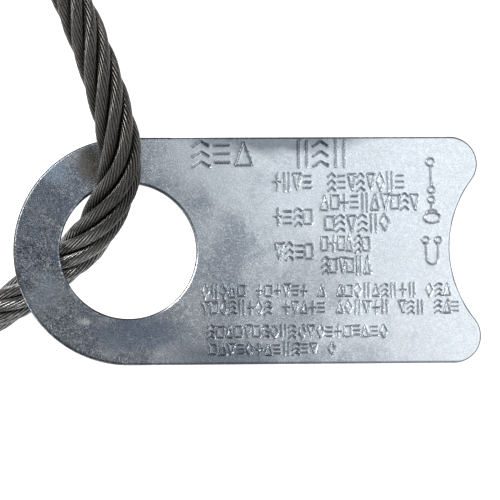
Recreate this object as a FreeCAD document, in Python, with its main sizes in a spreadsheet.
import FreeCAD, Part
import math
import os
from FreeCAD import Placement, Rotation, Vector

# Single-leg wire rope sling, 9.5 mm six-strand rope with a steel core, a soft
# eye at each end held by a swaged steel sleeve, and a sheet-metal capacity tag
# that hangs on the first eye. Millimetres, +Z up. The sling lies on the plane
# Z = 0, folded once, with both eyes side by side and pointing towards -Y.

doc = FreeCAD.newDocument("wire_rope_sling")

# ---------------------------------------------------------------- dimensions
sheet = doc.addObject("Spreadsheet::Sheet", "dims")
row = [1]


def cell(alias, value, note=""):
    """One driving dimension: a label, a plain number and its alias."""
    r = row[0]
    sheet.set("A%d" % r, note or alias)
    sheet.set("B%d" % r, repr(float(value)))
    sheet.setAlias("B%d" % r, alias)
    row[0] += 1


for alias, value, note in (
    ("rope_dia", 9.5, "nominal rope diameter"),
    ("strand_dia", 3.0, "outer strand diameter inside the sleeve"),
    ("strand_pitch_radius", 3.15, "radius of the ring of standing strands"),
    ("tail_pitch_radius", 6.3, "radius of the ring of strand tails"),
    ("core_dia", 3.2, "rope core diameter"),
    ("lay_length", 62.0, "length in which a strand goes once round the rope"),
    ("tail_length", 35.0, "length of a strand tail inside the sleeve"),
    ("trim_over", 2.0, "extra strand length before its ends are trimmed flush"),
    ("sleeve_length", 50.0, "swaged sleeve, mouth to tail"),
    ("sleeve_dia", 19.5, "swaged sleeve outside diameter"),
    ("sleeve_tail_dia", 13.4, "outside diameter at the tapered tail"),
    ("sleeve_taper_from", 33.0, "where the outside taper starts"),
    ("sleeve_bore_dia", 16.2, "bore over both layers of strands"),
    ("sleeve_bore_end", 35.6, "end of the wide bore"),
    ("sleeve_neck_from", 42.0, "start of the narrow neck"),
    ("sleeve_neck_dia", 9.7, "bore of the neck"),
    ("sleeve_edge", 1.1, "bevel at the outside edges"),
    ("leg_offset", 3.3, "sideways offset of each eye leg at the sleeve mouth"),
    ("leg_splay", 15.0, "angle of each leg to the sleeve axis"),
    ("throat_length", 7.0, "length of each leg in the throat"),
    ("axis_height", 9.75, "height of both sleeve axes"),
    ("mouth_one_x", -21.0, "centre of the mouth of sleeve 1"),
    ("mouth_one_y", 77.0, ""),
    ("heading_one", 88.0, "direction from mouth to tail of sleeve 1"),
    ("mouth_two_x", -137.0, "centre of the mouth of sleeve 2"),
    ("mouth_two_y", 77.0, ""),
    ("heading_two", 92.0, "direction from mouth to tail of sleeve 2"),
    ("tag_end_radius", 28.65, "round end of the tag, half the tag's width"),
    ("tag_hole_dia", 34.0, "hole that the rope runs through"),
    ("tag_thickness", 1.6, "sheet thickness"),
    ("tag_notch_radius", 28.75, "concave end, the same radius as the round end"),
    ("tag_notch_x", 109.55, "hole centre to notch centre"),
    ("tag_corner_radius", 6.9, "two corners beside the notch"),
    ("tag_x", 31.975, "hole centre on the underside of the tag"),
    ("tag_y", -62.75, ""),
    ("tag_z", 11.234, ""),
    ("tag_slope_x", 0.0872, "fall of the tag towards +X"),
    ("tag_slope_y", 0.140, "fall of the tag towards +Y"),
    ("tag_turn", 0.34, "turn of the tag about its hole, in degrees"),
    ("origin_x", -30.270, "centre of the sling lying down, without its body rope"),
    ("origin_y", 18.029, ""),
):
    cell(alias, value, note)

# Routes: corner points of the rope's centre line. The rope runs straight
# between corners and turns each one on a tangent arc.
EYE_ONE = (
    (-14.328, 62.269, 9.75), (-7.9, 48.2, 11.2), (0.2, 34.4, 13.5), (8.5, 20.1, 16.0),
    (16.1, 4.9, 18.1), (22.9, -11.0, 19.2), (28.2, -27.1, 19.2), (31.2, -41.6, 17.6),
    (26.5, -53.8, 13.9), (20.0, -62.4, 9.0), (12.1, -68.5, 6.2), (1.5, -76.6, 5.0),
    (-12.7, -83.5, 4.75), (-28.6, -86.8, 4.75), (-44.1, -84.0, 4.75), (-56.9, -75.2, 4.75),
    (-65.1, -61.5, 4.75), (-69.0, -45.2, 4.75), (-69.0, -28.0, 4.75), (-66.0, -11.1, 4.8),
    (-60.7, 5.2, 5.1), (-53.7, 20.6, 5.8), (-45.1, 35.0, 7.1), (-36.1, 48.8, 8.5),
    (-28.684, 62.771, 9.75),
)
# Eye 2 lies flat. Its corners are given beside its own axis: sideways, along.
EYE_TWO = (
    (-7.182, -14.489, 9.75), (-13.4, -29.0, 8.8), (-21.0, -43.2, 7.6), (-28.6, -58.0, 6.3),
    (-35.6, -73.6, 5.4), (-41.0, -90.2, 4.9), (-43.4, -107.6, 4.75), (-41.6, -125.0, 4.75),
    (-34.2, -140.6, 4.75), (-21.4, -152.0, 4.75), (-5.0, -157.4, 4.75), (12.2, -156.0, 4.75),
    (27.0, -147.6, 4.75), (37.4, -134.2, 4.75), (42.4, -118.0, 4.75), (42.2, -100.6, 4.75),
    (38.6, -83.6, 5.1), (32.4, -67.2, 5.8), (24.8, -51.6, 6.8), (16.8, -36.6, 8.2),
    (9.253, -22.216, 9.75),
)
BODY = (
    (-18.697, 142.96, 9.75), (-22.2, 162.5, 8.0), (-33.6, 179.6, 6.2), (-51.4, 191.2, 5.1),
    (-70.4, 195.9, 4.75), (-90.4, 195.2, 4.75), (-109.6, 188.9, 5.1), (-125.6, 177.6, 6.2),
    (-135.9, 161.6, 8.0), (-139.303, 142.96, 9.75),
)
for name, points in (("eye_one", EYE_ONE), ("eye_two", EYE_TWO), ("body", BODY)):
    for i, p in enumerate(points):
        for axis, v in zip("xyz", p):
            cell("%s_%02d_%s" % (name, i + 1, axis), v, "%s corner %d, %s" % (name, i + 1, axis))

doc.recompute()


def val(alias):
    return float(sheet.get(alias))


def corners(name, count):
    return [Vector(*(val("%s_%02d_%s" % (name, i + 1, a)) for a in "xyz")) for i in range(count)]


SHIFT = Vector(-val("origin_x"), -val("origin_y"), 0)
parts = []


def keep(obj, label):
    obj.Label = label
    parts.append(obj)
    return obj


def bind(obj, prop, expression):
    obj.setExpression(prop, expression)


# ------------------------------------------------------------ the two ends
def end_placement(which):
    """Local frame of one end: +Z from the sleeve's mouth to its tail, +X up."""
    heading = math.radians(val("heading_" + which))
    d = Vector(math.cos(heading), math.sin(heading), 0)
    x = Vector(0, 0, 1)
    y = d.cross(x)
    rotation = Rotation(x, y, d, "ZXY")
    base = Vector(val("mouth_%s_x" % which), val("mouth_%s_y" % which), val("axis_height"))
    return Placement(base + SHIFT, rotation)


def polygon_sketch(body, name, plane_role, points):
    """A closed polygon whose corners are each fixed by two bound distances."""
    sketch = body.newObject("Sketcher::SketchObject", name)
    plane = [f for f in body.Origin.OriginFeatures if f.Role == plane_role][0]
    sketch.AttachmentSupport = [(plane, "")]
    sketch.MapMode = "FlatFace"
    values = []
    for ex, ey in points:
        values.append(tuple(number(e) for e in (ex, ey)))
    n = len(points)
    for i in range(n):
        a, b = values[i], values[(i + 1) % n]
        sketch.addGeometry(Part.LineSegment(Vector(a[0], a[1], 0), Vector(b[0], b[1], 0)), False)
    import Sketcher

    for i in range(n):
        sketch.addConstraint(Sketcher.Constraint("Coincident", i, 2, (i + 1) % n, 1))
    for i, (ex, ey) in enumerate(points):
        x, y = values[i]
        if ex == "0":
            sketch.addConstraint(Sketcher.Constraint("PointOnObject", i, 1, -2))
        else:
            k = sketch.addConstraint(Sketcher.Constraint("DistanceX", -1, 1, i, 1, x))
            sketch.setExpression("Constraints[%d]" % k, ex)
        k = sketch.addConstraint(Sketcher.Constraint("DistanceY", -1, 1, i, 1, y))
        sketch.setExpression("Constraints[%d]" % k, ey)
    return sketch


def number(expression):
    """Value of a simple sum or difference of sheet cells and numbers."""
    total, sign = 0.0, 1.0
    for token in expression.split():
        if token == "+":
            sign = 1.0
        elif token == "-":
            sign = -1.0
        else:
            factor = 1.0
            if token.endswith("/2"):
                token, factor = token[:-2], 0.5
            v = val(token[5:]) if token.startswith("dims.") else float(token)
            total += sign * factor * v
            sign = 1.0
    return total


def sleeve(which, label):
    """Swaged sleeve: a turned steel body, wide bore, tapered tail and neck."""
    body = doc.addObject("PartDesign::Body", label)
    sketch = polygon_sketch(
        body,
        label + "_profile",
        "YZ_Plane",
        (
            ("dims.sleeve_bore_dia/2", "0.0"),
            ("dims.sleeve_dia/2 - dims.sleeve_edge", "0.0"),
            ("dims.sleeve_dia/2", "dims.sleeve_edge"),
            ("dims.sleeve_dia/2", "dims.sleeve_taper_from"),
            ("dims.sleeve_tail_dia/2", "dims.sleeve_length - dims.sleeve_edge"),
            ("dims.sleeve_tail_dia/2 - dims.sleeve_edge/2", "dims.sleeve_length"),
            ("dims.sleeve_neck_dia/2", "dims.sleeve_length"),
            ("dims.sleeve_neck_dia/2", "dims.sleeve_neck_from"),
            ("dims.sleeve_bore_dia/2", "dims.sleeve_bore_end"),
        ),
    )
    turned = body.newObject("PartDesign::Revolution", label + "_turned")
    turned.Profile = sketch
    turned.ReferenceAxis = (sketch, ["V_Axis"])
    turned.Angle = 360.0
    sketch.Visibility = False
    body.Tip = turned
    body.Placement = end_placement(which)
    return keep(body, label)


def strand(which, label, radius_cell, length_cell, angle):
    """One helical strand, right-hand lay, with its two ends cut square."""
    turn = Rotation(Vector(0, 0, 1), angle)
    helix = doc.addObject("Part::Helix", label + "_helix")
    bind(helix, "Pitch", "dims.lay_length")
    bind(helix, "Height", "dims.%s + 2 * dims.trim_over" % length_cell)
    bind(helix, "Radius", "dims." + radius_cell)
    helix.LocalCoord = 0
    helix.Placement = Placement(Vector(0, 0, -val("trim_over")), turn)
    section = doc.addObject("Part::Circle", label + "_section")
    bind(section, "Radius", "dims.strand_dia / 2")
    r = val(radius_cell)
    tangent = turn.multVec(Vector(0, 2 * math.pi * r, val("lay_length")))
    start = turn.multVec(Vector(r, 0, 0)) + Vector(0, 0, -val("trim_over"))
    section.Placement = Placement(start, Rotation(Vector(0, 0, 1), tangent))
    sweep = doc.addObject("Part::Sweep", label + "_sweep")
    sweep.Sections = [section]
    sweep.Spine = (helix, ["Edge1"])
    sweep.Solid = True
    sweep.Frenet = True
    room = doc.addObject("Part::Cylinder", label + "_length")
    room.Radius = 12.0
    bind(room, "Height", "dims." + length_cell)
    trimmed = doc.addObject("Part::Common", label)
    trimmed.Base = sweep
    trimmed.Tool = room
    trimmed.Placement = end_placement(which)
    return keep(trimmed, label)


def core(which, label):
    """Independent wire rope core through the sleeve."""
    rod = doc.addObject("Part::Cylinder", label)
    bind(rod, "Radius", "dims.core_dia / 2")
    bind(rod, "Height", "dims.sleeve_length")
    rod.Placement = end_placement(which)
    return keep(rod, label)


def throat(which, label):
    """The two legs of the eye where they merge into the sleeve's mouth."""
    legs = []
    for side in (1, -1):
        leg = doc.addObject("Part::Cylinder", "%s_leg_%s" % (label, "a" if side > 0 else "b"))
        bind(leg, "Radius", "dims.rope_dia / 2")
        bind(leg, "Height", "dims.throat_length + 6")
        splay = math.radians(val("leg_splay"))
        # The local Y axis points to the right of the direction mouth to tail.
        d = Vector(0, side * math.sin(splay), -math.cos(splay))
        start = Vector(0, side * val("leg_offset"), 0)
        leg.Placement = Placement(start - d * 6, Rotation(Vector(0, 0, 1), d))
        legs.append(leg)
    joined = doc.addObject("Part::Fuse", label + "_legs")
    joined.Base, joined.Tool = legs
    side_room = doc.addObject("Part::Cylinder", label + "_room")
    side_room.Radius = 30.0
    side_room.Height = 30.0
    side_room.Placement = Placement(Vector(0, 0, -30), Rotation())
    solid = doc.addObject("Part::Common", label)
    solid.Base = joined
    solid.Tool = side_room
    solid.Placement = end_placement(which)
    return keep(solid, label)


# ---------------------------------------------------------------- the rope
def arc_route(points, label):
    """Straight runs joined by tangent arcs, as one wire. Prints the radii."""
    edges, radii, runs = [], [], []
    start = points[0]
    for i in range(1, len(points) - 1):
        p, q, r = points[i - 1], points[i], points[i + 1]
        a, b = p - q, r - q
        la, lb = a.Length, b.Length
        a.normalize()
        b.normalize()
        turn = math.pi - a.getAngle(b)
        reach = 0.45 * min(la, lb)
        radius = reach / math.tan(turn / 2)
        radii.append(radius)
        runs.append(la)
        t_in, t_out = q + a * reach, q + b * reach
        middle = a + b
        middle.normalize()
        mid = q + middle * (radius / math.cos(turn / 2) - radius)
        edges.append(Part.LineSegment(start, t_in).toShape())
        edges.append(Part.Arc(t_in, mid, t_out).toShape())
        start = t_out
    edges.append(Part.LineSegment(start, points[-1]).toShape())
    runs.append((points[-1] - points[-2]).Length)
    wire = Part.Wire(edges)
    print(label, "length", round(wire.Length, 1), "smallest radius", round(min(radii), 1))
    print("  radii", [round(v) for v in radii])
    print("  runs", [round(v, 1) for v in runs])
    return wire


def rope(label, points):
    """A plain round tube of the rope's diameter along its route."""
    line = doc.addObject("Part::Feature", label + "_route")
    line.Shape = arc_route(points, label)
    section = doc.addObject("Part::Circle", label + "_section")
    bind(section, "Radius", "dims.rope_dia / 2")
    section.Placement = Placement(points[0], Rotation(Vector(0, 0, 1), points[1] - points[0]))
    tube = doc.addObject("Part::Sweep", label)
    tube.Sections = [section]
    tube.Spine = (line, ["Edge%d" % (i + 1) for i in range(len(line.Shape.Edges))])
    tube.Solid = True
    tube.Frenet = False
    tube.Placement = Placement(SHIFT, Rotation())
    return keep(tube, label)


def leg_ends(which):
    """Where the two legs leave the throat: right-hand one, left-hand one."""
    place = end_placement(which)
    splay = math.radians(val("leg_splay"))
    out = []
    for side in (1, -1):
        d = Vector(0, side * math.sin(splay), -math.cos(splay))
        p = Vector(0, side * val("leg_offset"), 0) + d * val("throat_length")
        out.append(place.multVec(p) - SHIFT)
    return out


def eye_two_corners():
    place = end_placement("two")
    out = []
    for p in corners("eye_two", len(EYE_TWO)):
        # sideways, along: local Y is to the right looking from mouth to tail.
        q = place.multVec(Vector(0, p.x, p.y)) - SHIFT
        out.append(Vector(q.x, q.y, p.z))
    return out


# Build the ends.
for which, n in (("one", 1), ("two", 2)):
    sleeve(which, "sleeve_%d" % n)
    throat(which, "eye_%d_throat" % n)
    core(which, "end_%d_core" % n)
    for i in range(6):
        strand(which, "end_%d_strand_%d" % (n, i + 1), "strand_pitch_radius", "sleeve_length", 60.0 * i)
    for i in range(6):
        strand(which, "end_%d_tail_%d" % (n, i + 1), "tail_pitch_radius", "tail_length", 60.0 * i + 30.0)

right, left = leg_ends("one")
rope("eye_1_loop", [right] + corners("eye_one", len(EYE_ONE)) + [left])
right, left = leg_ends("two")
rope("eye_2_loop", [left] + eye_two_corners() + [right])

tails = []
for which in ("one", "two"):
    tails.append(end_placement(which).multVec(Vector(0, 0, val("sleeve_length"))) - SHIFT)
rope("body_rope", [tails[0]] + corners("body", len(BODY)) + [tails[1]])


# ----------------------------------------------------------------- the tag
def capacity_tag(label):
    import Sketcher

    body = doc.addObject("PartDesign::Body", label)
    plane = [f for f in body.Origin.OriginFeatures if f.Role == "XY_Plane"][0]
    sketch = body.newObject("Sketcher::SketchObject", "tag_outline")
    sketch.AttachmentSupport = [(plane, "")]
    sketch.MapMode = "FlatFace"
    w, c = val("tag_end_radius"), val("tag_corner_radius")
    nx, nr = val("tag_notch_x"), val("tag_notch_radius")
    cx = nx - math.sqrt((nr + c) ** 2 - (w - c) ** 2)
    a = math.atan2(w - c, nx - cx)
    up = Vector(0, 0, 1)

    def arc(x, y, r, a0, a1):
        return Part.ArcOfCircle(Part.Circle(Vector(x, y, 0), up, r), a0, a1)

    sketch.addGeometry(arc(0, 0, w, math.pi / 2, 3 * math.pi / 2), False)
    sketch.addGeometry(Part.LineSegment(Vector(0, -w, 0), Vector(cx, -w, 0)), False)
    sketch.addGeometry(arc(cx, -(w - c), c, -math.pi / 2, a), False)
    sketch.addGeometry(arc(nx, 0, nr, math.pi - a, math.pi + a), False)
    sketch.addGeometry(arc(cx, w - c, c, -a, math.pi / 2), False)
    sketch.addGeometry(Part.LineSegment(Vector(cx, w, 0), Vector(0, w, 0)), False)
    for g1, e1, g2, e2 in ((0, 2, 1, 1), (1, 2, 2, 1), (2, 2, 3, 2), (3, 1, 4, 1), (4, 2, 5, 1), (5, 2, 0, 1)):
        sketch.addConstraint(Sketcher.Constraint("Tangent", g1, e1, g2, e2))
    sketch.addConstraint(Sketcher.Constraint("Coincident", 0, 3, -1, 1))
    sketch.addConstraint(Sketcher.Constraint("PointOnObject", 3, 3, -1))
    sketch.addConstraint(Sketcher.Constraint("Horizontal", 1))
    sketch.addConstraint(Sketcher.Constraint("Horizontal", 5))
    k = sketch.addConstraint(Sketcher.Constraint("Radius", 0, w))
    sketch.setExpression("Constraints[%d]" % k, "dims.tag_end_radius")
    k = sketch.addConstraint(Sketcher.Constraint("Radius", 2, c))
    sketch.setExpression("Constraints[%d]" % k, "dims.tag_corner_radius")
    sketch.addConstraint(Sketcher.Constraint("Equal", 2, 4))
    k = sketch.addConstraint(Sketcher.Constraint("Radius", 3, nr))
    sketch.setExpression("Constraints[%d]" % k, "dims.tag_notch_radius")
    k = sketch.addConstraint(Sketcher.Constraint("DistanceX", -1, 1, 3, 3, nx))
    sketch.setExpression("Constraints[%d]" % k, "dims.tag_notch_x")
    blank = body.newObject("PartDesign::Pad", "tag_blank")
    blank.Profile = sketch
    bind(blank, "Length", "dims.tag_thickness")
    sketch.Visibility = False
    doc.recompute()
    full = blank.Shape.Volume
    hole = body.newObject("Sketcher::SketchObject", "tag_hole_outline")
    hole.AttachmentSupport = [(plane, "")]
    hole.MapMode = "FlatFace"
    hole.addGeometry(Part.Circle(Vector(0, 0, 0), up, val("tag_hole_dia") / 2), False)
    hole.addConstraint(Sketcher.Constraint("Coincident", 0, 3, -1, 1))
    k = hole.addConstraint(Sketcher.Constraint("Diameter", 0, val("tag_hole_dia")))
    hole.setExpression("Constraints[%d]" % k, "dims.tag_hole_dia")
    punched = body.newObject("PartDesign::Pocket", "tag_hole")
    punched.Profile = hole
    punched.Type = 1
    punched.Reversed = True
    hole.Visibility = False
    body.Tip = punched
    doc.recompute()
    removed = full - punched.Shape.Volume
    expected = math.pi * (val("tag_hole_dia") / 2) ** 2 * val("tag_thickness")
    if abs(removed - expected) > 1.0:
        raise SystemExit("the hole in the tag cut %.1f, not %.1f" % (removed, expected))
    # The tag leans on the rope at its round end and on the ground at a corner.
    n = Vector(val("tag_slope_x"), val("tag_slope_y"), 1.0)
    n.normalize()
    x = Vector(1, 0, -val("tag_slope_x"))
    x.normalize()
    x = Rotation(n, val("tag_turn")).multVec(x)
    y = n.cross(x)
    body.Placement = Placement(
        Vector(val("tag_x"), val("tag_y"), val("tag_z")) + SHIFT, Rotation(x, y, n, "ZXY")
    )
    return keep(body, label)


capacity_tag("capacity_tag")
doc.recompute()

# ------------------------------------------------------------------- checks
for obj in doc.Objects:
    bad = [s for s in obj.State if s in ("Invalid", "Error")]
    if bad:
        raise SystemExit("%s is %s" % (obj.Label, bad))
for obj in parts:
    shape = obj.Shape
    if shape.isNull() or not shape.isValid() or len(shape.Solids) != 1:
        raise SystemExit("%s: null, not valid or not one solid" % obj.Label)
for label in ("eye_1_loop", "eye_2_loop", "body_rope"):
    obj = [o for o in parts if o.Label == label][0]
    line = doc.getObject(label + "_route").Shape
    ideal = math.pi * (val("rope_dia") / 2) ** 2 * line.Length
    print(label, "volume / ideal", round(obj.Shape.Volume / ideal, 4))

box = FreeCAD.BoundBox()
whole = FreeCAD.BoundBox()
for obj in parts:
    b = obj.Shape.optimalBoundingBox(False)
    whole.add(b)
    if obj.Label != "body_rope":
        box.add(b)
print("box without the body rope", box)
print("centre", round(box.Center.x, 3), round(box.Center.y, 3), "whole", whole)

os.makedirs("parts", exist_ok=True)
for obj in parts:
    obj.Shape.exportStep("parts/%s.step" % obj.Label)
print(len(parts), "parts written")
